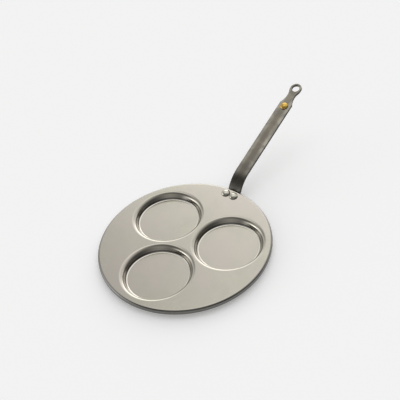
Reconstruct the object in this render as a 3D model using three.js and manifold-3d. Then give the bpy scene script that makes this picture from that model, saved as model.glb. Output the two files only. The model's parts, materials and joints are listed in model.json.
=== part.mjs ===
// Blini pan: a round steel plate pressed with wells, a bent strip handle held by two rivets,
// and a plain brass button below the handle's hanging eye.
// Millimetres, +Z up, +X along the handle. The origin lies on the surface that the pan stands on,
// below the middle of the whole pan, handle included.
import * as THREE from 'three';
import { mergeVertices } from 'three/addons/utils/BufferGeometryUtils.js';
import Module from 'manifold-3d';

const wasm = await Module();
wasm.setup();

// Pressed plate
const SHEET = 2.5; // thickness of the steel
const RIM_LAND = 9.275; // from a well's mouth to the plate's edge
const RIM_DROP = 7; // from the flat top down to the lower edge of the turned-down rim
const RIM_BEND = 1; // inner radius of the rim's bend
const NOTCH_DEPTH = 3; // how far the gap for the handle reaches in from the plate's edge

// Wells
const WELL_COUNT = 3;
const WELL_FLOOR_RADIUS = 48.2; // where the wall's slope would meet the floor
const WELL_DEPTH = 10.6;
const WELL_DRAFT = THREE.MathUtils.degToRad(26); // lean of the wall from upright
const WELL_FILLET = 2; // inside radius between wall and floor
const WELL_BEND = 4.9; // inner radius of the bend under the mouth
const WELL_GAP = 1.35; // flat strip between neighbouring mouths

// Handle
const STRIP_WIDTH = 22.7;
const STRIP_THICKNESS = 4;
const FOOT_BEND = 2; // inner radius where the strip turns up in the gap
const RISE_ANGLE = THREE.MathUtils.degToRad(57.4);
const RISE_STRAIGHT = 2.1; // flat stretch between the two bends
const LEAN_BEND = 47; // inner radius where the strip leans over to its long run
const RUN_ANGLE = THREE.MathUtils.degToRad(17.8);
const RUN_LENGTH = 161; // from the corner of the lean to the shoulders of the neck
const NECK_TAPER = 16; // length over which the strip narrows
const NECK_WIDTH = 13.7;
const NECK_FLARE = 17; // from the narrowest place to the eye's centre
const EYE_RADIUS = 6.5;
const EYE_WALL = 3.5;
const TAB_MARGIN = 9.5; // metal around the rivets on the tab under the plate
const TAB_ROUND = 4;

// Rivets
const RIVET_HEAD_RADIUS = 7;
const RIVET_HEAD_HEIGHT = 4.4;
const RIVET_SHANK_RADIUS = 3;
const RIVET_TAIL_RADIUS = 4.8;
const RIVET_TAIL_HEIGHT = 2;
const RIVET_GAP = 1; // between the two heads
const RIVET_LAND = 2.7; // from a head to the start of the rim's bend

// Button
const BUTTON_HEAD_RADIUS = 6.5;
const BUTTON_HEAD_HEIGHT = 3.2;
const BUTTON_SHANK_RADIUS = 2.5;
const BUTTON_TAIL_RADIUS = 4;
const BUTTON_TAIL_HEIGHT = 1.2;
const BUTTON_INSET = 6.5; // from the button's axis to the shoulders of the neck

// Fits
const SHANK_CLEARANCE = 0.3; // around a shank in its hole
const SEAT_CLEARANCE = 0.3; // under the button's head and above its tail
const NOTCH_CLEARANCE = 1; // beside the strip where it passes the rim
const FOOT_CLEARANCE = 0.3; // from the gap's edge to the start of the foot's bend
const TAB_CLEARANCE = 0.8; // from the tab to the rim's inside

// Facets
const PLATE_FACETS = 72;
const WELL_FACETS = 48;
const ROUND_FACETS = 24;
const BEND_STEPS = 4;
const SWEEP_STEPS = 12;
const DOME_STEPS = 6;
const WELD = 1e-4; // points closer than this are one
const CUT_PAST = 1; // how far a cutter reaches beyond what it cuts

// Plate places
const wellSlope = Math.PI / 2 - WELL_DRAFT;
const wallTop = WELL_FLOOR_RADIUS + WELL_DEPTH * Math.tan(WELL_DRAFT);
const mouthRadius = wallTop + bendLength(WELL_BEND + SHEET, wellSlope);
const wellCircle = (mouthRadius + WELL_GAP / 2) / Math.sin(Math.PI / WELL_COUNT);
const plateRadius = wellCircle + mouthRadius + RIM_LAND;
const plateTop = SHEET + WELL_DEPTH;
const underside = plateTop - SHEET;
const lipInside = plateRadius - SHEET;
const notchEdge = plateRadius - NOTCH_DEPTH;

// Rivet places
const rivetX = lipInside - RIM_BEND - RIVET_LAND - RIVET_HEAD_RADIUS;
const rivetY = RIVET_HEAD_RADIUS + RIVET_GAP / 2;

// Handle places: corners of the strip's upper face, and distances along its run
const leanTurn = RISE_ANGLE - RUN_ANGLE;
const footLength = bendLength(FOOT_BEND, RISE_ANGLE);
const riseLength = footLength + RISE_STRAIGHT + bendLength(LEAN_BEND + STRIP_THICKNESS, leanTurn);
const footCorner = new THREE.Vector2(notchEdge + FOOT_CLEARANCE + footLength, underside);
const leanCorner = footCorner.clone().add(along(RISE_ANGLE, riseLength));
const buttonPlace = RUN_LENGTH - BUTTON_INSET;
const neckPlace = RUN_LENGTH + NECK_TAPER;
const eyePlace = neckPlace + NECK_FLARE;
const eyeOuter = EYE_RADIUS + EYE_WALL;
const tipCorner = leanCorner.clone().add(along(RUN_ANGLE, eyePlace + eyeOuter));
const tipX = tipCorner.sub(square(RUN_ANGLE, STRIP_THICKNESS)).x;

// Distance from a sharp corner to where its bend begins
function bendLength(radius, turn) {
  return radius * Math.tan(turn / 2);
}

// Step of a length along a slope
function along(angle, length) {
  return new THREE.Vector2(Math.cos(angle), Math.sin(angle)).multiplyScalar(length);
}

// Step of a length square to a slope, upwards
function square(angle, length) {
  return along(angle + Math.PI / 2, length);
}

function corner(across, up, radius = 0) {
  return { at: new THREE.Vector2(across, up), radius };
}

// Points of a path through corners, with an arc at each corner that has a radius
function rounded(corners) {
  const points = [];
  corners.forEach(({ at, radius }, index) => {
    if (radius === 0) {
      points.push(at.clone());
      return;
    }
    const before = corners[index - 1].at.clone().sub(at).normalize();
    const after = corners[index + 1].at.clone().sub(at).normalize();
    const half = Math.acos(before.dot(after)) / 2;
    const turn = Math.sign(after.cross(before)) * (Math.PI - 2 * half);
    const middle = before.clone().add(after).normalize();
    const centre = at.clone().addScaledVector(middle, radius / Math.sin(half));
    const start = at.clone().addScaledVector(before, radius / Math.tan(half));
    for (let step = 0; step <= BEND_STEPS; step += 1) {
      points.push(start.clone().rotateAround(centre, turn * step / BEND_STEPS));
    }
  });
  return points;
}

// Closed skin with shared points, without the flat slivers that a lathe leaves on its axis
function closedSkin(geometry) {
  geometry.deleteAttribute('normal');
  geometry.deleteAttribute('uv');
  const skin = mergeVertices(geometry, WELD);
  const corners = skin.index.array;
  const kept = [];
  for (let i = 0; i < corners.length; i += 3) {
    const [a, b, c] = corners.slice(i, i + 3);
    if (a !== b && b !== c && c !== a) {
      kept.push(a, b, c);
    }
  }
  skin.setIndex(kept);
  skin.computeVertexNormals();
  return skin;
}

// Solid for cutting and joining
function solidOf(geometry) {
  const skin = closedSkin(geometry);
  return new wasm.Manifold(new wasm.Mesh({
    numProp: 3,
    vertProperties: new Float32Array(skin.attributes.position.array),
    triVerts: new Uint32Array(skin.index.array),
  }));
}

function skinOf(solid) {
  const mesh = solid.getMesh();
  const geometry = new THREE.BufferGeometry();
  geometry.setAttribute('position', new THREE.BufferAttribute(mesh.vertProperties, mesh.numProp));
  geometry.setIndex(new THREE.BufferAttribute(mesh.triVerts, 1));
  geometry.computeVertexNormals();
  return geometry;
}

// Form turned about Z from a profile of radii and heights
function turned(profile, facets) {
  return new THREE.LatheGeometry(profile, facets).rotateX(Math.PI / 2);
}

// Outline of X and Y, drawn up along Z
function raised(outline, height) {
  return new THREE.ExtrudeGeometry(outline, {
    depth: height,
    bevelEnabled: false,
    curveSegments: SWEEP_STEPS,
  });
}

// Side view of X and Z, drawn across the handle to a width
function acrossStrip(side, width) {
  return raised(new THREE.Shape(side), width).rotateX(Math.PI / 2).translate(0, width / 2, 0);
}

// Disc with its rim turned down
function rimmedDisc() {
  return turned(rounded([
    corner(0, underside),
    corner(lipInside, underside, RIM_BEND),
    corner(lipInside, plateTop - RIM_DROP),
    corner(plateRadius, plateTop - RIM_DROP),
    corner(plateRadius, plateTop, RIM_BEND + SHEET),
    corner(0, plateTop),
  ]), PLATE_FACETS);
}

// Hollow of a well, up to above the plate
function wellHollow() {
  return turned(rounded([
    corner(0, SHEET),
    corner(WELL_FLOOR_RADIUS, SHEET, WELL_FILLET),
    corner(wallTop, plateTop, WELL_BEND + SHEET),
    corner(mouthRadius, plateTop),
    corner(mouthRadius, plateTop + CUT_PAST),
    corner(0, plateTop + CUT_PAST),
  ]), WELL_FACETS);
}

// Outside of a well, one sheet away from its hollow, up into the plate
function wellBody() {
  const footRadius = WELL_FLOOR_RADIUS + bendLength(SHEET, wellSlope);
  const topRadius = footRadius + WELL_DEPTH * Math.tan(WELL_DRAFT);
  const bodyRadius = topRadius + bendLength(WELL_BEND, wellSlope);
  const inPlate = underside + SHEET / 2;
  return turned(rounded([
    corner(0, 0),
    corner(footRadius, 0, WELL_FILLET + SHEET),
    corner(topRadius, underside, WELL_BEND),
    corner(bodyRadius, underside),
    corner(bodyRadius, inPlate),
    corner(0, inPlate),
  ]), WELL_FACETS);
}

// Gap where the handle passes: it cuts the flat sheet at its edge, and reaches further in below it,
// past the inside of the rim's bend
function rimNotch() {
  const half = STRIP_WIDTH / 2 + NOTCH_CLEARANCE;
  const inner = Math.sqrt((lipInside - RIM_BEND) ** 2 - half ** 2) - NOTCH_CLEARANCE;
  const outer = plateRadius + CUT_PAST;
  const low = plateTop - RIM_DROP - CUT_PAST;
  const high = plateTop + CUT_PAST;
  const side = [
    new THREE.Vector2(inner, low),
    new THREE.Vector2(outer, low),
    new THREE.Vector2(outer, high),
    new THREE.Vector2(notchEdge, high),
    new THREE.Vector2(notchEdge, underside),
    new THREE.Vector2(inner, underside),
  ];
  return acrossStrip(side, 2 * half);
}

// Hole for one rivet, through the plate and the tab under it
function rivetHole(side) {
  const radius = RIVET_SHANK_RADIUS + SHANK_CLEARANCE;
  const height = plateTop + CUT_PAST;
  const hole = new THREE.CylinderGeometry(radius, radius, height, ROUND_FACETS).rotateX(Math.PI / 2);
  return hole.translate(rivetX, side * rivetY, height / 2);
}

function panPlate() {
  let plate = solidOf(rimmedDisc());
  const wells = Array.from({ length: WELL_COUNT }, (_, index) => (
    along(Math.PI + index * 2 * Math.PI / WELL_COUNT, wellCircle)
  ));
  for (const { x, y } of wells) {
    plate = plate.add(solidOf(wellBody().translate(x, y, 0)));
  }
  for (const { x, y } of wells) {
    plate = plate.subtract(solidOf(wellHollow().translate(x, y, 0)));
  }
  for (const cut of [rimNotch(), rivetHole(1), rivetHole(-1)]) {
    plate = plate.subtract(solidOf(cut));
  }
  return skinOf(plate);
}

// Strip in its bent shape, wider than it ends up, from the tab's end to past the eye
function bentStrip() {
  const start = rivetX - TAB_MARGIN;
  const end = leanCorner.clone().add(along(RUN_ANGLE, eyePlace + eyeOuter + CUT_PAST));
  const endBelow = end.clone().sub(square(RUN_ANGLE, STRIP_THICKNESS));
  const footDrop = square(RISE_ANGLE / 2, STRIP_THICKNESS / Math.cos(RISE_ANGLE / 2));
  const leanDrop = square((RISE_ANGLE + RUN_ANGLE) / 2, STRIP_THICKNESS / Math.cos(leanTurn / 2));
  const footBelow = footCorner.clone().sub(footDrop);
  const leanBelow = leanCorner.clone().sub(leanDrop);
  const side = rounded([
    corner(start, underside - STRIP_THICKNESS),
    corner(footBelow.x, footBelow.y, FOOT_BEND + STRIP_THICKNESS),
    corner(leanBelow.x, leanBelow.y, LEAN_BEND),
    corner(endBelow.x, endBelow.y),
    corner(end.x, end.y),
    corner(leanCorner.x, leanCorner.y, LEAN_BEND + STRIP_THICKNESS),
    corner(footCorner.x, footCorner.y, FOOT_BEND),
    corner(start, underside),
  ]);
  return acrossStrip(side, STRIP_WIDTH + 2 * CUT_PAST);
}

// Outline of the strip laid flat: straight sides, neck, and an eye with its hole
function flatOutline(reach) {
  const half = STRIP_WIDTH / 2;
  const neck = NECK_WIDTH / 2;
  const taper = RUN_LENGTH + NECK_TAPER / 2;
  const flare = neckPlace + NECK_FLARE / 2;
  const outline = new THREE.Shape();
  outline.moveTo(-reach, -half);
  outline.lineTo(RUN_LENGTH, -half);
  outline.quadraticCurveTo(taper, -neck, neckPlace, -neck);
  outline.bezierCurveTo(flare, -neck, flare, -eyeOuter, eyePlace, -eyeOuter);
  outline.absarc(eyePlace, 0, eyeOuter, -Math.PI / 2, Math.PI / 2, false);
  outline.bezierCurveTo(flare, eyeOuter, flare, neck, neckPlace, neck);
  outline.quadraticCurveTo(taper, neck, RUN_LENGTH, half);
  outline.lineTo(-reach, half);
  const eye = new THREE.Path().absarc(eyePlace, 0, EYE_RADIUS, 0, 2 * Math.PI, true);
  const shankHole = BUTTON_SHANK_RADIUS + SHANK_CLEARANCE;
  const button = new THREE.Path().absarc(buttonPlace, 0, shankHole, 0, 2 * Math.PI, true);
  outline.holes.push(eye, button);
  return outline;
}

// Wide tab under the plate that takes the rivets
function rivetTab() {
  const half = rivetY + TAB_MARGIN;
  const start = rivetX - TAB_MARGIN;
  const end = Math.sqrt((lipInside - RIM_BEND - TAB_CLEARANCE) ** 2 - half ** 2);
  const round = Math.min(TAB_ROUND, half, (end - start) / 2);
  const outline = new THREE.Shape(rounded([
    corner(start, 0),
    corner(start, -half, round),
    corner(end, -half, round),
    corner(end, half, round),
    corner(start, half, round),
    corner(start, 0),
  ]));
  return raised(outline, STRIP_THICKNESS).translate(0, 0, underside - STRIP_THICKNESS);
}

function stripHandle(run) {
  const reach = plateRadius;
  const cutter = raised(flatOutline(reach), 2 * reach).translate(0, 0, -reach);
  const strip = solidOf(bentStrip()).intersect(solidOf(cutter.applyMatrix4(run.matrix)));
  let handle = strip.add(solidOf(rivetTab()));
  for (const side of [1, -1]) {
    handle = handle.subtract(solidOf(rivetHole(side)));
  }
  return skinOf(handle);
}

// Domed head above zero, shank below it, and a tail hammered over at the far side of the grip
function rivetSkin({ headRadius, headHeight, shankRadius, tailRadius, tailHeight, grip }) {
  const dome = new THREE.EllipseCurve(0, 0, headRadius, headHeight, 0, Math.PI / 2);
  const bottom = -grip - tailHeight;
  return closedSkin(turned([
    new THREE.Vector2(0, bottom),
    new THREE.Vector2(tailRadius - tailHeight / 2, bottom),
    new THREE.Vector2(tailRadius, bottom + tailHeight / 2),
    new THREE.Vector2(tailRadius, -grip),
    new THREE.Vector2(shankRadius, -grip),
    new THREE.Vector2(shankRadius, 0),
    ...dome.getPoints(DOME_STEPS),
  ], ROUND_FACETS));
}

function plateRivet() {
  return rivetSkin({
    headRadius: RIVET_HEAD_RADIUS,
    headHeight: RIVET_HEAD_HEIGHT,
    shankRadius: RIVET_SHANK_RADIUS,
    tailRadius: RIVET_TAIL_RADIUS,
    tailHeight: RIVET_TAIL_HEIGHT,
    grip: SHEET + STRIP_THICKNESS,
  });
}

function endButton() {
  return rivetSkin({
    headRadius: BUTTON_HEAD_RADIUS,
    headHeight: BUTTON_HEAD_HEIGHT,
    shankRadius: BUTTON_SHANK_RADIUS,
    tailRadius: BUTTON_TAIL_RADIUS,
    tailHeight: BUTTON_TAIL_HEIGHT,
    grip: STRIP_THICKNESS + 2 * SEAT_CLEARANCE,
  });
}

function metal(color, roughness) {
  return new THREE.MeshStandardMaterial({ color, roughness, metalness: 1, flatShading: true });
}

function piece(name, geometry, material) {
  const mesh = new THREE.Mesh(geometry, material);
  mesh.name = name;
  return mesh;
}

// Assembly, with the middle of the whole pan above the origin
const pan = new THREE.Group();
pan.position.x = (plateRadius - tipX) / 2;

// Frame of the handle's long run: X along its upper face, Z square to it
const run = new THREE.Group();
run.position.set(leanCorner.x, 0, leanCorner.y);
run.rotation.y = -RUN_ANGLE;
run.updateMatrix();

const plateSteel = metal(0xbab1a4, 0.42);
const handleSteel = metal(0x7d766b, 0.45);
const rivetSteel = metal(0xc6c2ba, 0.25);
const brass = metal(0xc9993c, 0.3);

pan.add(piece('pan_plate', panPlate(), plateSteel));
pan.add(piece('handle', stripHandle(run), handleSteel));
for (const [name, side] of [['rivet_left', 1], ['rivet_right', -1]]) {
  const rivet = piece(name, plateRivet(), rivetSteel);
  rivet.position.set(rivetX, side * rivetY, plateTop);
  pan.add(rivet);
}
const button = piece('handle_button', endButton(), brass);
button.position.set(buttonPlace, 0, SEAT_CLEARANCE);
run.add(button);
pan.add(run);

const bliniPan = new THREE.Group();
bliniPan.add(pan);

export default bliniPan;
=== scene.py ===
# Blini pan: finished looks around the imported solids
import json
import math

import bmesh
import bpy
from mathutils import Matrix, Vector

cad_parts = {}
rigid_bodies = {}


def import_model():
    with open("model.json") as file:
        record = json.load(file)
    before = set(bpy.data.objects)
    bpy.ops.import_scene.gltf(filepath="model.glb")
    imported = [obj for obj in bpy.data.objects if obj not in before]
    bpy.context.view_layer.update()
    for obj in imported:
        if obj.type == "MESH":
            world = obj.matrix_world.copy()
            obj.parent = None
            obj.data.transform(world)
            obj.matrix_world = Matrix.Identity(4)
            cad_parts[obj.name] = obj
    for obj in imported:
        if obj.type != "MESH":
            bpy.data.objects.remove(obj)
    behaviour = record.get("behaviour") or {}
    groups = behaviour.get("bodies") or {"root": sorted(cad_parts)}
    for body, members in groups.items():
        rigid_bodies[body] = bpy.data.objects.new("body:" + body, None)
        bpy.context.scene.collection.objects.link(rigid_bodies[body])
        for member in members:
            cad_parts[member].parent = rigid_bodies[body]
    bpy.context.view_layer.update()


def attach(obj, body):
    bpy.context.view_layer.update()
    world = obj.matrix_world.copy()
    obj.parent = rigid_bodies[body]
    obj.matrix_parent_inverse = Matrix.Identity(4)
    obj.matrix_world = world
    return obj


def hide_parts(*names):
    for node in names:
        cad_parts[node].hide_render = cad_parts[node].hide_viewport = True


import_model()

MM = 0.001

# Pressed plate
SHEET = 2.5 * MM
RIM_LAND = 9.275 * MM
RIM_DROP = 7 * MM
RIM_BEND = 1 * MM
NOTCH_DEPTH = 3 * MM
LIP_EDGE_ROUND = 0.4 * MM
FLAT_MARGIN = 0.4 * MM

# Wells
WELL_COUNT = 3
WELL_FLOOR_RADIUS = 48.2 * MM
WELL_DEPTH = 10.6 * MM
WELL_DRAFT = math.radians(26)
WELL_FILLET = 2 * MM
WELL_BEND = 4.9 * MM
WELL_GAP = 1.35 * MM

# Handle
STRIP_WIDTH = 22.7 * MM
STRIP_THICKNESS = 4 * MM
FOOT_BEND = 2 * MM
RISE_ANGLE = math.radians(57.4)
RISE_STRAIGHT = 2.1 * MM
LEAN_BEND = 47 * MM
RUN_ANGLE = math.radians(17.8)
RUN_LENGTH = 161 * MM
NECK_TAPER = 16 * MM
NECK_WIDTH = 13.7 * MM
NECK_FLARE = 17 * MM
EYE_RADIUS = 6.5 * MM
EYE_WALL = 3.5 * MM
TAB_MARGIN = 9.5 * MM
TAB_ROUND = 4 * MM
TAB_CLEARANCE = 0.8 * MM
NOTCH_CLEARANCE = 1 * MM
FOOT_CLEARANCE = 0.3 * MM
STRIP_EDGE_ROUND = 0.6 * MM

# Rivets
RIVET_HEAD_RADIUS = 7 * MM
RIVET_HEAD_HEIGHT = 4.4 * MM
RIVET_SHANK_RADIUS = 3 * MM
RIVET_TAIL_RADIUS = 4.8 * MM
RIVET_TAIL_HEIGHT = 2 * MM
RIVET_GAP = 1 * MM
RIVET_LAND = 2.7 * MM
HEAD_EDGE = 0.5 * MM

# Button
BUTTON_HEAD_RADIUS = 6.5 * MM
BUTTON_HEAD_HEIGHT = 3.2 * MM
BUTTON_SHANK_RADIUS = 2.5 * MM
BUTTON_TAIL_RADIUS = 4 * MM
BUTTON_TAIL_HEIGHT = 1.2 * MM
BUTTON_INSET = 6.5 * MM
SHANK_CLEARANCE = 0.3 * MM
SEAT_CLEARANCE = 0.3 * MM

# Marks in the metal: lines, streaks and clouds are counted per metre, breaks in rings per radian
GRAIN_DETAIL = 5
GRAIN_FINENESS = 0.6
GRAIN_MIDDLE = 0.5
CLOUD_DETAIL = 4
CLOUD_TWIST = 0.5
CLOUD_LOW = 0.35
CLOUD_HIGH = 0.65
SCRATCH_TURNS = (math.radians(24), math.radians(-51))
SCRATCH_STRETCH = 0.03
SCRATCH_LEVEL = 0.5
SCRATCH_BREAKS = 0.15
SCRATCH_GONE = 0.52
SCRATCH_FULL = 0.6
SCRATCH_DETAIL = 1
RING_BREAKS = 6
RING_LINES = 1400
RING_DETAIL = 2

# Plate finish, with the weight of each mark in its tone, roughness and relief
PLATE_LIGHT = (0.447, 0.426, 0.36)
PLATE_DARK = (0.371, 0.355, 0.299)
PLATE_ROSE = (0.436, 0.401, 0.361)
PLATE_TEMPER = 13
TEMPER_SHARE = 0.8
PLATE_BRIGHT = (0.55, 0.525, 0.485)
# Painted shade on the rim's lip, darkening its outer face
LIP_PAINTED_SHADE = (0.15, 0.149, 0.143)
LIP_SHADE_SHARE = 0.9
# Painted shade: a dark line in the crease at the foot of each well's wall
FOOT_PAINTED_SHADE = (0.08, 0.078, 0.072)
FOOT_SHADE_SHARE = 0.75
FOOT_LINE = 0.4 * MM
# Painted highlight: a bright ring round each well's floor, where the fillet meets it
FLOOR_EDGE_HIGHLIGHT = (0.85, 0.82, 0.75)
FLOOR_EDGE_HIGHLIGHT_SHARE = 0.5
PLATE_ROUGHNESS = 0.12
PLATE_RELIEF = 0.012 * MM
PLATE_GRAIN_ALONG = 25
PLATE_GRAIN_ACROSS = 420
PLATE_CLOUDS = 24
PLATE_SCRATCHES = 700
PLATE_SCRATCH_WIDTH = 0.006
PLATE_SCRATCH_SHARE = 0.25
PLATE_TONE = {"clouds": 0.35, "grain": 0.4}
PLATE_ROUGH = {"clouds": 0.03, "grain": 0.06, "scratches": 0.08, "drawn": -0.04}
PLATE_HEIGHT = {"grain": 1.0, "rings": 1.2, "scratches": -0.4}

# Handle finish, with the weights of its marks
STRIP_BROWN = (0.178, 0.156, 0.124)
STRIP_GREY = (0.32, 0.298, 0.25)
STRIP_SHADE = (0.145, 0.133, 0.113)
# Painted shade on the strip's cut sides
STRIP_SIDE_SHADE = (0.03, 0.029, 0.026)
# Painted shade on the handle's lower end, full below the lean and gone 70 mm up the run
STRIP_LOWER_SHADE = (0.07, 0.068, 0.06)
LOWER_SHADE_START = -10 * MM
LOWER_SHADE_END = 70 * MM
LOWER_SHADE_SHARE = 0.75
WORN_START = STRIP_WIDTH * 0.1
WORN_END = STRIP_WIDTH * 0.34
WORN_RAGGED = 4 * MM
BRIGHT_REACH = 45 * MM
BRIGHT_SHARE = 0.35
STRIP_FACING = math.radians(118)
FLAT_FACING = 0.7
SHEARED_FACING = 0.35
SIDE_SHADE_SHARE = 0.95
STRIP_ROUGHNESS = 0.16
STRIP_RELIEF = 0.02 * MM
STRIP_GRAIN_ALONG = 18
STRIP_GRAIN_ACROSS = 380
STRIP_CLOUDS = 60
STRIP_SCRATCHES = 800
STRIP_SCRATCH_WIDTH = 0.007
STRIP_SCRATCH_SHARE = 0.15
STRIP_TONE = {"clouds": 0.55, "grain": 0.25}
STRIP_ROUGH = {"clouds": 0.08, "grain": 0.1, "scratches": 0.05, "sheared_and_shaded": 0.15, "worn": -0.04}
STRIP_HEIGHT = {"grain": 1.0, "scratches": -0.2, "clouds": 0.3}

# Finish of the rivets and the button, with the weights of their marks
RIVET_LIGHT = (0.50, 0.485, 0.415)
RIVET_DARK = (0.41, 0.395, 0.335)
# Painted shade round the foot of the rivet heads
RIVET_SEAT_SHADE = (0.08, 0.076, 0.065)
RIVET_ROUGHNESS = 0.13
BRASS_LIGHT = (0.6, 0.4, 0.095)
BRASS_DARK = (0.48, 0.3, 0.06)
# Painted shade round the foot of the button's head
BRASS_SEAT_SHADE = (0.12, 0.075, 0.025)
BRASS_ROUGHNESS = 0.24
HEAD_RELIEF = 0.02 * MM
HEAD_CLOUDS = 260
HEAD_SCRATCHES = 1600
HEAD_SCRATCH_WIDTH = 0.006
HEAD_CLOUD_SHARE = 0.5
# Height up a head that the painted seat shade reaches
SEAT_SHADE_TOP = HEAD_EDGE * 3
SEAT_SHADE_SHARE = 0.7
HEAD_ROUGH = {"clouds": 0.06, "scratches": 0.08, "seated": 0.2}
HEAD_HEIGHT = {"clouds": 0.6, "scratches": -0.3}

# Fineness of the meshes
RIM_STEPS = 192
WELL_STEPS = 144
HEAD_STEPS = 48
HOLE_STEPS = 24
BEND_STEPS = 10
STRIP_BEND_STEPS = 20
CURVE_STEPS = 16
DOME_STEPS = 14
EDGE_STEPS = 3
WELD = 0.001 * MM
NEAR = 0.01 * MM
SMOOTH_ANGLE = math.radians(35)
SHARP_ANGLE = math.radians(50)

# Directions
ALONG_Y = Vector((0, 1, 0))
ALONG_Z = Vector((0, 0, 1))
FULL_TURN = 2 * math.pi
HALF_TURN = math.pi
QUARTER_TURN = math.pi / 2


def bend_length(radius, turn):
    """From a sharp corner to where its bend begins."""
    return radius * math.tan(turn / 2)


def slope(angle, length):
    """A step of a length up a slope, in the upright plane of the handle."""
    return Vector((math.cos(angle), 0, math.sin(angle))) * length


# Plate places, measured from the plate's axis
well_slope = QUARTER_TURN - WELL_DRAFT
wall_top = WELL_FLOOR_RADIUS + WELL_DEPTH * math.tan(WELL_DRAFT)
mouth_radius = wall_top + bend_length(WELL_BEND + SHEET, well_slope)
flat_floor_radius = WELL_FLOOR_RADIUS - bend_length(WELL_FILLET, well_slope)
well_circle = (mouth_radius + WELL_GAP / 2) / math.sin(HALF_TURN / WELL_COUNT)
plate_radius = well_circle + mouth_radius + RIM_LAND
plate_top = SHEET + WELL_DEPTH
underside = plate_top - SHEET
lip_inside = plate_radius - SHEET
flat_top_radius = lip_inside - RIM_BEND
notch_edge = plate_radius - NOTCH_DEPTH
rivet_x = flat_top_radius - RIVET_LAND - RIVET_HEAD_RADIUS
rivet_y = RIVET_HEAD_RADIUS + RIVET_GAP / 2

# Handle places: corners of the strip's upper face, and distances along its run
lean_turn = RISE_ANGLE - RUN_ANGLE
lean_outside = LEAN_BEND + STRIP_THICKNESS
lean_start = bend_length(lean_outside, lean_turn)
foot_length = bend_length(FOOT_BEND, RISE_ANGLE)
rise_length = foot_length + RISE_STRAIGHT + lean_start
foot_corner = Vector((notch_edge + FOOT_CLEARANCE + foot_length, 0, underside))
lean_corner = foot_corner + slope(RISE_ANGLE, rise_length)
button_place = RUN_LENGTH - BUTTON_INSET
neck_place = RUN_LENGTH + NECK_TAPER
eye_place = neck_place + NECK_FLARE
eye_outer = EYE_RADIUS + EYE_WALL
run_square = slope(RUN_ANGLE + QUARTER_TURN, 1)
tip = lean_corner + slope(RUN_ANGLE, eye_place + eye_outer) - run_square * STRIP_THICKNESS

# The plate's axis in the shared frame, whose origin is below the middle of the whole pan
plate_axis = Vector(((plate_radius - tip.x) / 2, 0, 0))
first_well = plate_axis - Vector((well_circle, 0, 0))
lean_corner += plate_axis
foot_corner += plate_axis

# The tab under the plate, in the shared frame
tab_half = rivet_y + TAB_MARGIN
tab_reach = math.sqrt((flat_top_radius - TAB_CLEARANCE) ** 2 - tab_half ** 2)
tab_outer = plate_axis.x + tab_reach
tab_inner = plate_axis.x + rivet_x - TAB_MARGIN


# Modelling by hand: drawing, turning and picking
def begin(name):
    """A new empty piece, open in edit mode."""
    bpy.ops.object.select_all(action="DESELECT")
    bpy.ops.mesh.primitive_plane_add(size=SHEET)
    piece = bpy.context.object
    piece.name = name
    piece.data.name = name
    bpy.ops.object.mode_set(mode="EDIT")
    bpy.ops.mesh.select_mode(type="VERT")
    bpy.ops.mesh.select_all(action="SELECT")
    bpy.ops.mesh.delete(type="VERT")
    return piece


def set_point(place):
    """One selected point to draw from."""
    bpy.ops.mesh.primitive_plane_add(size=SHEET, location=place)
    bpy.ops.mesh.merge(type="CENTER")


def draw(step):
    """Carries what is selected along a step, and joins it to where it was."""
    bpy.ops.mesh.extrude_region_move(TRANSFORM_OT_translate={"value": step})


def follow(points):
    """Draws on from the selected point, the first of the points, through the others."""
    for here, there in zip(points, points[1:]):
        draw(there - here)


def draw_round(centre, turn, steps, axis=ALONG_Y):
    """Carries what is selected round a centre. About Y, a positive turn takes Z towards X."""
    bpy.ops.mesh.spin(steps=steps, angle=-turn, center=centre, axis=axis)


def turn_about(axis_place, steps):
    """Turns the drawn profile a full circle about an upright axis."""
    bpy.ops.mesh.select_linked()
    bpy.ops.mesh.spin(steps=steps, angle=FULL_TURN, center=axis_place, axis=ALONG_Z)
    bpy.ops.mesh.select_linked()
    bpy.ops.mesh.remove_doubles(threshold=WELD)


def pick(piece, kind, test):
    """Selects only the points, edges or faces that pass a test."""
    bpy.ops.mesh.select_mode(type=kind)
    bpy.ops.mesh.select_all(action="DESELECT")
    mesh = bmesh.from_edit_mesh(piece.data)
    items = {"VERT": mesh.verts, "EDGE": mesh.edges, "FACE": mesh.faces}[kind]
    for item in items:
        if test(item):
            item.select_set(True)
    mesh.select_flush_mode()
    bmesh.update_edit_mesh(piece.data)


def outward():
    """Merges doubled points and turns all faces outwards."""
    bpy.ops.mesh.select_all(action="SELECT")
    bpy.ops.mesh.remove_doubles(threshold=WELD)
    bpy.ops.mesh.normals_make_consistent(inside=False)


def close_piece():
    """Leaves edit mode."""
    bpy.ops.object.mode_set(mode="OBJECT")


def modify(piece, kind, **settings):
    """Adds a modifier with its settings and applies it."""
    modifier = piece.modifiers.new(kind.lower(), kind)
    for name, value in settings.items():
        setattr(modifier, name, value)
    bpy.context.view_layer.objects.active = piece
    bpy.ops.object.modifier_apply(modifier=modifier.name)


def round_edges(piece, width):
    modify(piece, "BEVEL", width=width, segments=EDGE_STEPS, limit_method="ANGLE",
           angle_limit=SHARP_ANGLE, use_clamp_overlap=False)


def smooth(piece):
    bpy.ops.object.select_all(action="DESELECT")
    piece.select_set(True)
    bpy.context.view_layer.objects.active = piece
    bpy.ops.object.shade_smooth_by_angle(angle=SMOOTH_ANGLE)


def cut_away(piece, cutter):
    """Cuts the shape of a cutter out of a piece, and removes the cutter."""
    modify(piece, "BOOLEAN", operation="DIFFERENCE", object=cutter, solver="EXACT")
    bpy.data.objects.remove(cutter)


def cut_box(piece, low, high):
    """Cuts a box out of a piece."""
    bpy.ops.object.select_all(action="DESELECT")
    bpy.ops.mesh.primitive_cube_add(size=1, location=(low + high) / 2, scale=high - low)
    cut_away(piece, bpy.context.object)


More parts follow.
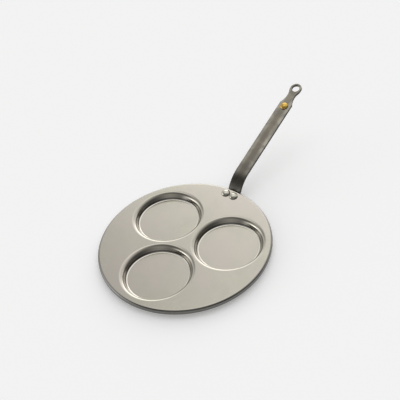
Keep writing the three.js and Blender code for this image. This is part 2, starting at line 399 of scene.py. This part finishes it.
def drill(piece, place, radius, depth):
    """Cuts an upright round hole out of a piece."""
    bpy.ops.object.select_all(action="DESELECT")
    bpy.ops.mesh.primitive_cylinder_add(vertices=HOLE_STEPS, radius=radius, depth=depth, location=place)
    cut_away(piece, bpy.context.object)


def drill_for_rivets(piece, middle, thickness):
    """Cuts both rivets' holes through a sheet, given the height of its middle."""
    for side in (1, -1):
        place = plate_axis + Vector((rivet_x, side * rivet_y, middle))
        drill(piece, place, RIVET_SHANK_RADIUS + SHANK_CLEARANCE, thickness * 2)


# Pressed plate
def draw_rim():
    """Skin of the turned-down rim, from the flat top outwards and down."""
    bend = RIM_BEND + SHEET
    start = plate_axis + Vector((flat_top_radius - FLAT_MARGIN, 0, plate_top))
    centre = plate_axis + Vector((flat_top_radius, 0, plate_top - bend))
    set_point(start)
    draw(Vector((FLAT_MARGIN, 0, 0)))
    draw_round(centre, QUARTER_TURN, BEND_STEPS)
    draw(Vector((0, 0, bend - RIM_DROP)))
    turn_about(plate_axis, RIM_STEPS)


def draw_well(piece):
    """Skin of one well, from the flat top around its mouth down to its floor."""
    bend = WELL_BEND + SHEET
    mouth = first_well + Vector((mouth_radius, 0, plate_top))
    wall = WELL_DEPTH / math.cos(WELL_DRAFT)
    wall -= bend_length(bend, well_slope) + bend_length(WELL_FILLET, well_slope)
    fillet_centre = first_well + Vector((flat_floor_radius, 0, SHEET + WELL_FILLET))
    set_point(mouth + Vector((FLAT_MARGIN, 0, 0)))
    draw(Vector((-FLAT_MARGIN, 0, 0)))
    draw_round(mouth - ALONG_Z * bend, -well_slope, BEND_STEPS)
    draw(slope(-QUARTER_TURN - WELL_DRAFT, wall))
    draw_round(fillet_centre, well_slope, BEND_STEPS)
    draw(Vector((-FLAT_MARGIN, 0, 0)))
    turn_about(first_well, WELL_STEPS)
    floor_edge = flat_floor_radius - FLAT_MARGIN + NEAR

    def on_floor_edge(edge):
        return all((point.co - first_well).xy.length < floor_edge for point in edge.verts)

    pick(piece, "EDGE", on_floor_edge)
    bpy.ops.mesh.edge_face_add()
    bpy.ops.mesh.select_linked()


def draw_wells(piece):
    draw_well(piece)
    for _ in range(WELL_COUNT - 1):
        bpy.ops.mesh.duplicate()
        bpy.ops.transform.rotate(value=FULL_TURN / WELL_COUNT, orient_axis="Z",
                                 center_override=plate_axis)


def fill_flat_top(piece):
    """Flat steel between the rim and the mouths of the wells."""
    def open_at_top(edge):
        level = all(abs(point.co.z - plate_top) < NEAR for point in edge.verts)
        return level and len(edge.link_faces) < 2

    pick(piece, "EDGE", open_at_top)
    bpy.ops.mesh.fill(use_beauty=True)


def face_up(piece):
    """Turns the skin so that its flat top faces up."""
    outward()
    mesh = bmesh.from_edit_mesh(piece.data)
    top_face = max(mesh.faces, key=lambda face: face.calc_center_median().z)
    if top_face.normal.z < 0:
        bpy.ops.mesh.flip_normals()


def cut_notch(piece):
    """Opens the rim for the strip, and cuts the flat top back to where the strip rises."""
    half = STRIP_WIDTH / 2 + NOTCH_CLEARANCE
    inner = math.sqrt(flat_top_radius ** 2 - half ** 2) - NOTCH_CLEARANCE
    outside = plate_radius + SHEET
    below = plate_top - RIM_DROP - SHEET
    above = plate_top + SHEET
    cut_box(piece, plate_axis + Vector((inner, -half, below)),
            plate_axis + Vector((outside, half, underside + NEAR)))
    cut_box(piece, plate_axis + Vector((notch_edge, -half, below)),
            plate_axis + Vector((outside, half, above)))


def pressed_plate():
    piece = begin("pressed_plate")
    draw_rim()
    draw_wells(piece)
    fill_flat_top(piece)
    face_up(piece)
    close_piece()
    modify(piece, "SOLIDIFY", thickness=SHEET, offset=-1,
           use_even_offset=True, use_quality_normals=True)
    round_edges(piece, LIP_EDGE_ROUND)
    drill_for_rivets(piece, plate_top - SHEET / 2, SHEET)
    cut_notch(piece)
    smooth(piece)
    return piece


# Handle
def quadratic(start, guide, end):
    """Points of a curve between two places, drawn by one guide."""
    points = []
    for step in range(CURVE_STEPS + 1):
        part = step / CURVE_STEPS
        rest = 1 - part
        points.append(start * rest ** 2 + guide * 2 * rest * part + end * part ** 2)
    return points


def bezier(start, first, second, end):
    """Points of a curve between two places, drawn by two guides."""
    points = []
    for step in range(CURVE_STEPS + 1):
        part = step / CURVE_STEPS
        rest = 1 - part
        points.append(start * rest ** 3 + first * 3 * rest ** 2 * part
                      + second * 3 * rest * part ** 2 + end * part ** 3)
    return points


def draw_run_outline():
    """Half of the long run laid flat, its upper face at zero: side, neck, eye and holes."""
    half = STRIP_WIDTH / 2
    neck = NECK_WIDTH / 2
    taper = RUN_LENGTH + NECK_TAPER / 2
    flare = neck_place + NECK_FLARE / 2
    hole = BUTTON_SHANK_RADIUS + SHANK_CLEARANCE
    run_start = Vector((lean_start, 0, 0))
    shoulder = Vector((RUN_LENGTH, half, 0))
    waist = Vector((neck_place, neck, 0))
    eye_side = Vector((eye_place, eye_outer, 0))
    eye_middle = Vector((eye_place, 0, 0))
    set_point(run_start)
    follow([run_start, Vector((lean_start, half, 0)), shoulder])
    follow(quadratic(shoulder, Vector((taper, neck, 0)), waist))
    follow(bezier(waist, Vector((flare, neck, 0)), Vector((flare, eye_outer, 0)), eye_side))
    draw_round(eye_middle, -QUARTER_TURN, HOLE_STEPS, ALONG_Z)
    draw(Vector((-EYE_WALL, 0, 0)))
    draw_round(eye_middle, HALF_TURN, HOLE_STEPS, ALONG_Z)
    draw(Vector((button_place + hole - eye_place + EYE_RADIUS, 0, 0)))
    draw_round(Vector((button_place, 0, 0)), HALF_TURN, HOLE_STEPS, ALONG_Z)
    draw(Vector((lean_start - button_place + hole, 0, 0)))
    bpy.ops.mesh.select_all(action="SELECT")
    bpy.ops.mesh.remove_doubles(threshold=WELD)
    bpy.ops.mesh.edge_face_add()


def tilt_run():
    """Gives the flat run its thickness and sets it in its place above the lean."""
    bpy.ops.object.mode_set(mode="EDIT")
    bpy.ops.mesh.select_all(action="SELECT")
    draw(Vector((0, 0, -STRIP_THICKNESS)))
    outward()
    bpy.ops.transform.rotate(value=RUN_ANGLE, orient_axis="Y", center_override=(0, 0, 0))
    bpy.ops.transform.translate(value=lean_corner)


def draw_lower_bends(piece):
    """Carries the run's lower end round the lean, down the rise, round the foot and along the tab."""
    run_direction = slope(RUN_ANGLE, 1)
    run_start = lean_corner + run_direction * lean_start
    lean_centre = run_start - run_square * lean_outside
    foot_start = foot_corner - Vector((foot_length, 0, 0))
    foot_centre = foot_start + ALONG_Z * FOOT_BEND

    def run_end(face):
        away = (face.calc_center_median() - run_start).dot(run_direction)
        return face.normal.dot(run_direction) < -math.cos(SMOOTH_ANGLE) and abs(away) < NEAR

    pick(piece, "FACE", run_end)
    draw_round(lean_centre, -lean_turn, STRIP_BEND_STEPS)
    draw(slope(RISE_ANGLE, -RISE_STRAIGHT))
    draw_round(foot_centre, RISE_ANGLE, STRIP_BEND_STEPS)
    draw(Vector((tab_outer - foot_start.x, 0, 0)))
    draw(Vector((tab_inner - tab_outer, 0, 0)))


def widen_tab(piece, side):
    """Draws one side of the tab out past its rivet."""
    def on_side(face):
        under_plate = tab_inner < face.calc_center_median().x < tab_outer
        return under_plate and face.normal.y * side > math.cos(SMOOTH_ANGLE)

    pick(piece, "FACE", on_side)
    draw(Vector((0, side * (tab_half - STRIP_WIDTH / 2), 0)))


def round_tab(piece):
    """Rounds the upright edges at the tab's four corners."""
    def at_corner(edge):
        upright = abs(edge.verts[0].co.z - edge.verts[1].co.z) > STRIP_THICKNESS / 2
        return upright and all(abs(abs(point.co.y) - tab_half) < NEAR for point in edge.verts)

    pick(piece, "EDGE", at_corner)
    bpy.ops.mesh.bevel(offset=TAB_ROUND, segments=BEND_STEPS, affect="EDGES")


def strip_handle():
    piece = begin("strip_handle")
    draw_run_outline()
    close_piece()
    modify(piece, "MIRROR", use_axis=(False, True, False), use_clip=True, merge_threshold=NEAR)
    tilt_run()
    draw_lower_bends(piece)
    for side in (1, -1):
        widen_tab(piece, side)
    round_tab(piece)
    outward()
    close_piece()
    round_edges(piece, STRIP_EDGE_ROUND)
    drill_for_rivets(piece, underside - STRIP_THICKNESS / 2, STRIP_THICKNESS)
    smooth(piece)
    modify(piece, "WEIGHTED_NORMAL", keep_sharp=True)
    return piece


# Rivets and button
def draw_dome(seat, radius, height):
    """Profile of a domed head from the edge of its seat up to its top."""
    points = [seat + Vector((radius - HEAD_EDGE, 0, 0)), seat + Vector((radius, 0, HEAD_EDGE))]
    for step in range(1, DOME_STEPS + 1):
        angle = QUARTER_TURN * step / DOME_STEPS
        across = radius * math.cos(angle)
        up = HEAD_EDGE + (height - HEAD_EDGE) * math.sin(angle)
        points.append(seat + Vector((across, 0, up)))
    follow(points)


def headed_pin(name, seat, grip, head_radius, head_height, shank_radius, tail_radius, tail_height):
    """A domed head on its seat, a shank below it and a hammered tail at the end of the grip."""
    piece = begin(name)
    tail_top = seat - ALONG_Z * grip
    tail_round = tail_height / 2
    start = tail_top - ALONG_Z * tail_height
    set_point(start)
    draw(Vector((tail_radius - tail_round, 0, 0)))
    draw_round(start + Vector((tail_radius - tail_round, 0, tail_round)), -QUARTER_TURN, BEND_STEPS)
    draw(ALONG_Z * (tail_height - tail_round))
    draw(Vector((shank_radius - tail_radius, 0, 0)))
    draw(ALONG_Z * grip)
    draw(Vector((head_radius - HEAD_EDGE - shank_radius, 0, 0)))
    draw_dome(seat, head_radius, head_height)
    turn_about(seat, HEAD_STEPS)
    outward()
    close_piece()
    return piece


def plate_rivets():
    grip = SHEET + STRIP_THICKNESS
    seat = plate_axis + Vector((rivet_x, rivet_y, plate_top))
    left = headed_pin("rivet_left_domed", seat, grip, RIVET_HEAD_RADIUS, RIVET_HEAD_HEIGHT,
                      RIVET_SHANK_RADIUS, RIVET_TAIL_RADIUS, RIVET_TAIL_HEIGHT)
    smooth(left)
    bpy.ops.object.duplicate()
    right = bpy.context.object
    right.name = "rivet_right_domed"
    right.data.name = right.name
    bpy.ops.object.mode_set(mode="EDIT")
    bpy.ops.mesh.select_all(action="SELECT")
    bpy.ops.transform.translate(value=(0, -2 * rivet_y, 0))
    close_piece()
    return left, right


def brass_button():
    grip = STRIP_THICKNESS + 2 * SEAT_CLEARANCE
    seat = Vector((button_place, 0, SEAT_CLEARANCE))
    piece = headed_pin("brass_button", seat, grip, BUTTON_HEAD_RADIUS, BUTTON_HEAD_HEIGHT,
                       BUTTON_SHANK_RADIUS, BUTTON_TAIL_RADIUS, BUTTON_TAIL_HEIGHT)
    bpy.ops.object.mode_set(mode="EDIT")
    bpy.ops.mesh.select_all(action="SELECT")
    bpy.ops.transform.rotate(value=RUN_ANGLE, orient_axis="Y", center_override=(0, 0, 0))
    bpy.ops.transform.translate(value=lean_corner)
    close_piece()
    smooth(piece)
    return piece


# Node building
def add_node(tree, kind, sockets=None, **settings):
    """A node with its settings, each socket given set to a value or joined to another socket."""
    node = tree.nodes.new(kind)
    for name, value in settings.items():
        setattr(node, name, value)
    for name, value in (sockets or {}).items():
        if isinstance(value, bpy.types.NodeSocket):
            tree.links.new(value, node.inputs[name])
        else:
            node.inputs[name].default_value = value
    return node


def calculate(tree, operation, *values):
    """The result of one sum on numbers or sockets."""
    node = add_node(tree, "ShaderNodeMath", dict(enumerate(values)), operation=operation)
    return node.outputs["Value"]


def on_vectors(tree, operation, *vectors):
    """The result of one sum on vectors, a number for lengths and dot products."""
    node = add_node(tree, "ShaderNodeVectorMath", dict(enumerate(vectors)), operation=operation)
    return node.outputs["Value" if operation in ("DOT_PRODUCT", "LENGTH") else "Vector"]


def fade(tree, value, start, end):
    """A smooth change from nought to one while a value goes from start to end."""
    sockets = {"Value": value, "From Min": start, "From Max": end}
    node = add_node(tree, "ShaderNodeMapRange", sockets, interpolation_type="SMOOTHSTEP")
    return node.outputs["Result"]


def blend(tree, amount, first, second):
    """A colour between two others."""
    node = tree.nodes.new("ShaderNodeMix")
    node.data_type = "RGBA"
    for name, value in (("Factor_Float", amount), ("A_Color", first), ("B_Color", second)):
        socket = next(item for item in node.inputs if item.identifier == name)
        if isinstance(value, bpy.types.NodeSocket):
            tree.links.new(value, socket)
        else:
            socket.default_value = value if isinstance(value, float) else (*value, 1)
    return next(item for item in node.outputs if item.identifier == "Result_Color")


def split(tree, vector):
    return add_node(tree, "ShaderNodeSeparateXYZ", {"Vector": vector}).outputs


def join(tree, x, y, z):
    return add_node(tree, "ShaderNodeCombineXYZ", {"X": x, "Y": y, "Z": z}).outputs["Vector"]


def new_group(name, numbers, results):
    """An empty node group that takes a vector and numbers and gives numbers."""
    group = bpy.data.node_groups.new(name, "ShaderNodeTree")
    group.interface.new_socket("Vector", in_out="INPUT", socket_type="NodeSocketVector")
    for number in numbers:
        group.interface.new_socket(number, in_out="INPUT", socket_type="NodeSocketFloat")
    for result in results:
        group.interface.new_socket(result, in_out="OUTPUT", socket_type="NodeSocketFloat")
    start = group.nodes.new("NodeGroupInput").outputs
    end = group.nodes.new("NodeGroupOutput").inputs
    return group, start, end


def use(tree, group, vector, **numbers):
    """A node group placed in a material, with its own numbers."""
    node = tree.nodes.new("ShaderNodeGroup")
    node.node_tree = group
    tree.links.new(vector, node.inputs["Vector"])
    for name, value in numbers.items():
        node.inputs[name].default_value = value
    return node.outputs


# Shared effects
def noise(tree, place, scale, detail, **others):
    """A cloud of values between nought and one."""
    sockets = {"Vector": place, "Scale": scale, "Detail": detail, **others}
    return add_node(tree, "ShaderNodeTexNoise", sockets).outputs["Fac"]


def rolled_grain_group():
    """Long fine streaks along X, as rolling leaves on sheet and strip."""
    group, start, end = new_group("rolled_grain", ["Along", "Across"], ["Height"])
    stretch = join(group, start["Along"], start["Across"], start["Across"])
    place = on_vectors(group, "MULTIPLY", start["Vector"], stretch)
    streaks = noise(group, place, 1, GRAIN_DETAIL, Roughness=GRAIN_FINENESS)
    group.links.new(streaks, end["Height"])
    return group


def cloudy_tone_group():
    """Soft clouds of darker and lighter metal."""
    group, start, end = new_group("cloudy_tone", ["Clouds"], ["Amount"])
    cloud = noise(group, start["Vector"], start["Clouds"], CLOUD_DETAIL, Distortion=CLOUD_TWIST)
    group.links.new(fade(group, cloud, CLOUD_LOW, CLOUD_HIGH), end["Amount"])
    return group


def hairline_group():
    """Thin scratches that run in two directions and break off."""
    group, start, end = new_group("hairline_scratches", ["Lines", "Width"], ["Mask"])
    marks = []
    for turn in SCRATCH_TURNS:
        turned = add_node(group, "ShaderNodeVectorRotate", {"Vector": start["Vector"], "Angle": turn},
                          rotation_type="Z_AXIS").outputs["Vector"]
        across = on_vectors(group, "SCALE", turned)
        group.links.new(start["Lines"], across.node.inputs["Scale"])
        drawn = on_vectors(group, "MULTIPLY", across, (SCRATCH_STRETCH, 1, 1))
        waves = noise(group, drawn, 1, SCRATCH_DETAIL)
        away = calculate(group, "ABSOLUTE", calculate(group, "SUBTRACT", waves, SCRATCH_LEVEL))
        line = calculate(group, "LESS_THAN", away, start["Width"])
        breaks = noise(group, across, SCRATCH_BREAKS, SCRATCH_DETAIL)
        kept = fade(group, breaks, SCRATCH_GONE, SCRATCH_FULL)
        marks.append(calculate(group, "MULTIPLY", line, kept))
    group.links.new(calculate(group, "MAXIMUM", *marks), end["Mask"])
    return group


def round_place_group():
    """Distance from an upright axis, and the angle about it."""
    group, start, end = new_group("round_place", ["Axis X", "Axis Y"], ["Distance", "Angle"])
    axis = join(group, start["Axis X"], start["Axis Y"], 0)
    away = on_vectors(group, "SUBTRACT", start["Vector"], axis)
    flat = on_vectors(group, "MULTIPLY", away, (1, 1, 0))
    sides = split(group, flat)
    group.links.new(on_vectors(group, "LENGTH", flat), end["Distance"])
    group.links.new(calculate(group, "ARCTAN2", sides["Y"], sides["X"]), end["Angle"])
    return group


# Materials
def new_metal(name):
    """A metal with its shader, and the place on the piece that its marks follow."""
    material = bpy.data.materials.new(name)
    material.use_nodes = True
    tree = material.node_tree
    shader = tree.nodes["Principled BSDF"]
    shader.inputs["Metallic"].default_value = 1
    return material, tree, shader, tree.nodes.new("ShaderNodeTexCoord").outputs


def dress(tree, shader, colour, roughness, height, relief):
    """Joins a colour, a roughness and a fine relief to a metal's shader."""
    bump = add_node(tree, "ShaderNodeBump", {"Height": height, "Strength": 1, "Distance": relief})
    tree.links.new(colour, shader.inputs["Base Color"])
    tree.links.new(roughness, shader.inputs["Roughness"])
    tree.links.new(bump.outputs["Normal"], shader.inputs["Normal"])


def weigh(tree, marks, weights):
    """The sum of the marks that have a weight, each times its weight."""
    total = None
    for name, weight in weights.items():
        part = calculate(tree, "MULTIPLY", marks[name], weight)
        total = part if total is None else calculate(tree, "ADD", total, part)
    return total


def tint(tree, colour, mask, share, other):
    """A colour turned by a share towards another where a mask is full."""
    return blend(tree, calculate(tree, "MULTIPLY", mask, share), colour, other)


def turned_place(tree, places, middle, lean):
    """Places on a piece measured from a middle, along and square to a lean."""
    away = on_vectors(tree, "SUBTRACT", places["Object"], tuple(middle))
    node = add_node(tree, "ShaderNodeVectorRotate", {"Vector": away, "Angle": lean}, rotation_type="Y_AXIS")
    return node.outputs["Vector"]


def nearest_well(tree, effects, place):
    """Distance from the axis of the nearest well, and the angle about it within a mouth."""
    nearest = None
    angle = None
    for index in range(WELL_COUNT):
        turn = HALF_TURN + FULL_TURN * index / WELL_COUNT
        axis = {"Axis X": well_circle * math.cos(turn), "Axis Y": well_circle * math.sin(turn)}
        well = use(tree, effects["round"], place, **axis)
        away = well["Distance"]
        inside = calculate(tree, "LESS_THAN", away, mouth_radius + FLAT_MARGIN)
        part = calculate(tree, "MULTIPLY", inside, well["Angle"])
        nearest = away if nearest is None else calculate(tree, "MINIMUM", nearest, away)
        angle = part if angle is None else calculate(tree, "ADD", angle, part)
    return nearest, angle


def drawn_lines(tree, distance, angle, height):
    """Fine lines round a well, as drawing the sheet into it leaves them."""
    around = calculate(tree, "MULTIPLY", angle, RING_BREAKS)
    out = calculate(tree, "MULTIPLY", distance, RING_LINES)
    up = calculate(tree, "MULTIPLY", height, RING_LINES)
    return noise(tree, join(tree, around, out, up), 1, RING_DETAIL)


def plate_finish(effects):
    """Rolled steel with painted shade on the lip and in the crease at the foot of each well's wall, drawn
    walls in the wells and a painted highlight ring round each floor.
    """
    material, tree, shader, places = new_metal("plate_steel")
    place = on_vectors(tree, "SUBTRACT", places["Object"], tuple(plate_axis))
    grain = use(tree, effects["grain"], place, Along=PLATE_GRAIN_ALONG, Across=PLATE_GRAIN_ACROSS)["Height"]
    clouds = use(tree, effects["clouds"], place, Clouds=PLATE_CLOUDS)["Amount"]
    temper = use(tree, effects["clouds"], place, Clouds=PLATE_TEMPER)["Amount"]
    scratches = use(tree, effects["hairlines"], place,
                    Lines=PLATE_SCRATCHES, Width=PLATE_SCRATCH_WIDTH)["Mask"]
    nearest, angle = nearest_well(tree, effects, place)
    past_floor = fade(tree, nearest, flat_floor_radius - FLAT_MARGIN, flat_floor_radius)
    drawn = calculate(tree, "MULTIPLY", past_floor, fade(tree, nearest, mouth_radius, wall_top))
    lines = drawn_lines(tree, nearest, angle, split(tree, place)["Z"])
    wall_foot = flat_floor_radius + WELL_FILLET * math.sin(well_slope) + FOOT_LINE
    before_foot = fade(tree, nearest, wall_foot, wall_foot - FOOT_LINE)
    floor_edge = calculate(tree, "MULTIPLY", past_floor, before_foot)
    from_foot = calculate(tree, "ABSOLUTE", calculate(tree, "SUBTRACT", nearest, wall_foot))
    foot = fade(tree, from_foot, FOOT_LINE * 2, FOOT_LINE)
    from_axis = use(tree, effects["round"], place)["Distance"]
    # Painted shade: the lip darkens from the edge of the flat top out to the rim
    lip = fade(tree, from_axis, flat_top_radius, plate_radius - RIM_BEND)
    marks = {"clouds": clouds, "grain": grain, "scratches": scratches, "drawn": drawn,
             "rings": calculate(tree, "MULTIPLY", lines, drawn)}
    colour = blend(tree, weigh(tree, marks, PLATE_TONE), PLATE_LIGHT, PLATE_DARK)
    colour = tint(tree, colour, temper, TEMPER_SHARE, PLATE_ROSE)
    colour = tint(tree, colour, scratches, PLATE_SCRATCH_SHARE, PLATE_BRIGHT)
    colour = tint(tree, colour, lip, LIP_SHADE_SHARE, LIP_PAINTED_SHADE)
    # Painted highlight round the edge of each well's floor
    colour = tint(tree, colour, floor_edge, FLOOR_EDGE_HIGHLIGHT_SHARE, FLOOR_EDGE_HIGHLIGHT)
    # Painted shade in the crease at the foot of each well's wall
    colour = tint(tree, colour, foot, FOOT_SHADE_SHARE, FOOT_PAINTED_SHADE)
    rough = calculate(tree, "ADD", weigh(tree, marks, PLATE_ROUGH), PLATE_ROUGHNESS)
    dress(tree, shader, colour, rough, weigh(tree, marks, PLATE_HEIGHT), PLATE_RELIEF)
    return material


def handle_finish(effects):
    """Brown strip with worn grey edges and upper end, painted shade on its lower end, and cut sides that
    are rougher and darkened with painted shade.
    """
    material, tree, shader, places = new_metal("handle_steel")
    place = turned_place(tree, places, lean_corner, RUN_ANGLE)
    along = split(tree, place)
    grain = use(tree, effects["grain"], place, Along=STRIP_GRAIN_ALONG, Across=STRIP_GRAIN_ACROSS)["Height"]
    clouds = use(tree, effects["clouds"], place, Clouds=STRIP_CLOUDS)["Amount"]
    scratches = use(tree, effects["hairlines"], place,
                    Lines=STRIP_SCRATCHES, Width=STRIP_SCRATCH_WIDTH)["Mask"]
    facing = on_vectors(tree, "DOT_PRODUCT", places["Normal"], tuple(slope(STRIP_FACING, 1)))
    # The strip's cut sides, picked by their facing: rougher, and darkened with painted shade
    sheared_and_shaded = fade(tree, calculate(tree, "ABSOLUTE", facing), FLAT_FACING, SHEARED_FACING)
    uneven = calculate(tree, "MULTIPLY", calculate(tree, "SUBTRACT", grain, GRAIN_MIDDLE), WORN_RAGGED)
    across = calculate(tree, "ADD", calculate(tree, "ABSOLUTE", along["Y"]), uneven)
    upper_end = fade(tree, along["X"], RUN_LENGTH - BRIGHT_REACH, RUN_LENGTH + NECK_TAPER)
    worn = calculate(tree, "MAXIMUM", fade(tree, across, WORN_START, WORN_END),
                     calculate(tree, "MULTIPLY", upper_end, BRIGHT_SHARE))
    # Painted shade over the lower bends and the start of the run
    lower_shade = fade(tree, along["X"], LOWER_SHADE_END, LOWER_SHADE_START)
    marks = {"clouds": clouds, "grain": grain, "scratches": scratches, "sheared_and_shaded": sheared_and_shaded, "worn": worn}
    colour = blend(tree, worn, STRIP_BROWN, STRIP_GREY)
    colour = blend(tree, weigh(tree, marks, STRIP_TONE), colour, STRIP_SHADE)
    colour = tint(tree, colour, scratches, STRIP_SCRATCH_SHARE, PLATE_BRIGHT)
    colour = tint(tree, colour, lower_shade, LOWER_SHADE_SHARE, STRIP_LOWER_SHADE)
    # Painted shade on the cut sides
    colour = tint(tree, colour, sheared_and_shaded, SIDE_SHADE_SHARE, STRIP_SIDE_SHADE)
    rough = calculate(tree, "ADD", weigh(tree, marks, STRIP_ROUGH), STRIP_ROUGHNESS)
    dress(tree, shader, colour, rough, weigh(tree, marks, STRIP_HEIGHT), STRIP_RELIEF)
    return material


def head_finish(effects, name, seat, lean, light, dark, seat_shade, roughness):
    """Bright domed metal with light marks, and painted shade where the head meets its seat."""
    material, tree, shader, places = new_metal(name)
    place = turned_place(tree, places, seat, lean)
    clouds = use(tree, effects["clouds"], place, Clouds=HEAD_CLOUDS)["Amount"]
    scratches = use(tree, effects["hairlines"], place,
                    Lines=HEAD_SCRATCHES, Width=HEAD_SCRATCH_WIDTH)["Mask"]
    seated = fade(tree, split(tree, place)["Z"], SEAT_SHADE_TOP, HEAD_EDGE)
    marks = {"clouds": clouds, "scratches": scratches, "seated": seated}
    colour = tint(tree, light, clouds, HEAD_CLOUD_SHARE, dark)
    # Painted shade where the head meets its seat
    colour = tint(tree, colour, seated, SEAT_SHADE_SHARE, seat_shade)
    rough = calculate(tree, "ADD", weigh(tree, marks, HEAD_ROUGH), roughness)
    dress(tree, shader, colour, rough, weigh(tree, marks, HEAD_HEIGHT), HEAD_RELIEF)
    return material


def finish_piece(piece, node, material):
    piece.data.materials.clear()
    piece.data.materials.append(material)
    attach(piece, "root")
    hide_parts(node)


shared = {"grain": rolled_grain_group(), "clouds": cloudy_tone_group(),
          "hairlines": hairline_group(), "round": round_place_group()}
plate_steel = plate_finish(shared)
handle_steel = handle_finish(shared)
rivet_seat = plate_axis + ALONG_Z * plate_top
rivet_steel = head_finish(shared, "rivet_steel", rivet_seat, 0,
                          RIVET_LIGHT, RIVET_DARK, RIVET_SEAT_SHADE, RIVET_ROUGHNESS)
button_brass = head_finish(shared, "button_brass", lean_corner, RUN_ANGLE,
                           BRASS_LIGHT, BRASS_DARK, BRASS_SEAT_SHADE, BRASS_ROUGHNESS)

finish_piece(pressed_plate(), "pan_plate", plate_steel)
finish_piece(strip_handle(), "handle", handle_steel)
left_rivet, right_rivet = plate_rivets()
finish_piece(left_rivet, "rivet_left", rivet_steel)
finish_piece(right_rivet, "rivet_right", rivet_steel)
finish_piece(brass_button(), "handle_button", button_brass)

# Floor, which looks pale to the eye and in reflections and still takes the pan's shadow
FLOOR_SIZE = 60
FLOOR_COLOUR = (0.86, 0.86, 0.86)
FLOOR_ROUGHNESS = 0.9
FLOOR_GLOW = 0.235


def pale_floor():
    bpy.ops.object.select_all(action="DESELECT")
    bpy.ops.mesh.primitive_plane_add(size=FLOOR_SIZE)
    floor = bpy.context.object
    floor.name = "pale_floor"
    paint = bpy.data.materials.new("pale_floor")
    paint.use_nodes = True
    tree = paint.node_tree
    shader = tree.nodes["Principled BSDF"]
    shader.inputs["Base Color"].default_value = (*FLOOR_COLOUR, 1)
    shader.inputs["Roughness"].default_value = FLOOR_ROUGHNESS
    shader.inputs["Specular IOR Level"].default_value = 0
    ray = tree.nodes.new("ShaderNodeLightPath").outputs
    seen = calculate(tree, "MAXIMUM", ray["Is Camera Ray"], ray["Is Glossy Ray"])
    seen = calculate(tree, "MAXIMUM", seen, ray["Is Transmission Ray"])
    glow = add_node(tree, "ShaderNodeEmission", {"Strength": calculate(tree, "MULTIPLY", seen, FLOOR_GLOW)})
    both = add_node(tree, "ShaderNodeAddShader", {0: shader.outputs["BSDF"], 1: glow.outputs["Emission"]})
    tree.links.new(both.outputs["Shader"], tree.nodes["Material Output"].inputs["Surface"])
    floor.data.materials.append(paint)


pale_floor()

# Studio light: soft lights around the pan, each by azimuth, elevation, sharpness and strength
SOFT_LIGHTS = (
    # Behind the pan, as the camera sees it
    (40, 24, 19, 2.05),
    (15, 12, 40, 1.85),
    (32, 10, 40, 1.2),
    (30, 45, 40, 0.22),
    (39, 70, 25, 1.06),
    # On its right
    (2, 30, 5, 0.68),
    (345, 10, 30, 0.65),
    (327, 59, 6, 0.7),
    # On its left
    (75, 20, 40, 0.75),
    (92, 62, 30, 0.92),
    (105, 25, 40, 0.8),
    (117, 1, 8.5, 1.6),
    (130, 4, 40, 2.5),
    (150, 9, 30, 0.8),
    # Beside the camera
    (205, 24, 5.4, 0.42),
)
EVEN_LIGHT = 0.06


def soft_light(tree, direction, azimuth, elevation, sharpness, strength):
    """Brightness of one soft light in a direction, brightest at its middle."""
    flat = math.cos(elevation)
    middle = (flat * math.cos(azimuth), flat * math.sin(azimuth), math.sin(elevation))
    facing = on_vectors(tree, "DOT_PRODUCT", direction, middle)
    away = calculate(tree, "MULTIPLY", calculate(tree, "SUBTRACT", facing, 1), sharpness)
    return calculate(tree, "MULTIPLY", calculate(tree, "EXPONENT", away), strength)


def studio_light():
    world = bpy.data.worlds.new("studio")
    world.use_nodes = True
    tree = world.node_tree
    direction = tree.nodes.new("ShaderNodeTexCoord").outputs["Generated"]
    total = EVEN_LIGHT
    for azimuth, elevation, sharpness, strength in SOFT_LIGHTS:
        turn = math.radians(azimuth)
        rise = math.radians(elevation)
        light = soft_light(tree, direction, turn, rise, sharpness, strength)
        total = calculate(tree, "ADD", light, total)
    background = tree.nodes["Background"].inputs
    background["Color"].default_value = (1, 1, 1, 1)
    tree.links.new(total, background["Strength"])
    bpy.context.scene.world = world


studio_light()

# Camera at the photograph's place, measured from the middle of the plate's top
LENS_MM = 74.33
SENSOR_MM = 36
VIEW_AZIMUTH = math.radians(-47.04)
VIEW_ELEVATION = math.radians(42.84)
VIEW_ROLL = math.radians(9.54)
VIEW_PLACE = Vector((-0.6264, -0.6304, 0.9054))


def photo_camera():
    """A camera that looks down on the pan, turned a little about its own line of sight."""
    flat = math.cos(VIEW_ELEVATION)
    back = Vector((flat * math.sin(VIEW_AZIMUTH), -flat * math.cos(VIEW_AZIMUTH), math.sin(VIEW_ELEVATION)))
    level = (-back).cross(ALONG_Z).normalized()
    drop = (-back).cross(level)
    right = level * math.cos(VIEW_ROLL) + drop * math.sin(VIEW_ROLL)
    down = drop * math.cos(VIEW_ROLL) - level * math.sin(VIEW_ROLL)
    data = bpy.data.cameras.new("photo_camera")
    data.lens = LENS_MM
    data.sensor_width = SENSOR_MM
    camera = bpy.data.objects.new("photo_camera", data)
    bpy.context.scene.collection.objects.link(camera)
    turn = Matrix((right, -down, back)).transposed().to_4x4()
    place = plate_axis + ALONG_Z * plate_top + VIEW_PLACE
    camera.matrix_world = Matrix.Translation(place) @ turn
    bpy.context.scene.camera = camera


photo_camera()
bpy.context.scene.view_settings.view_transform = "Standard"
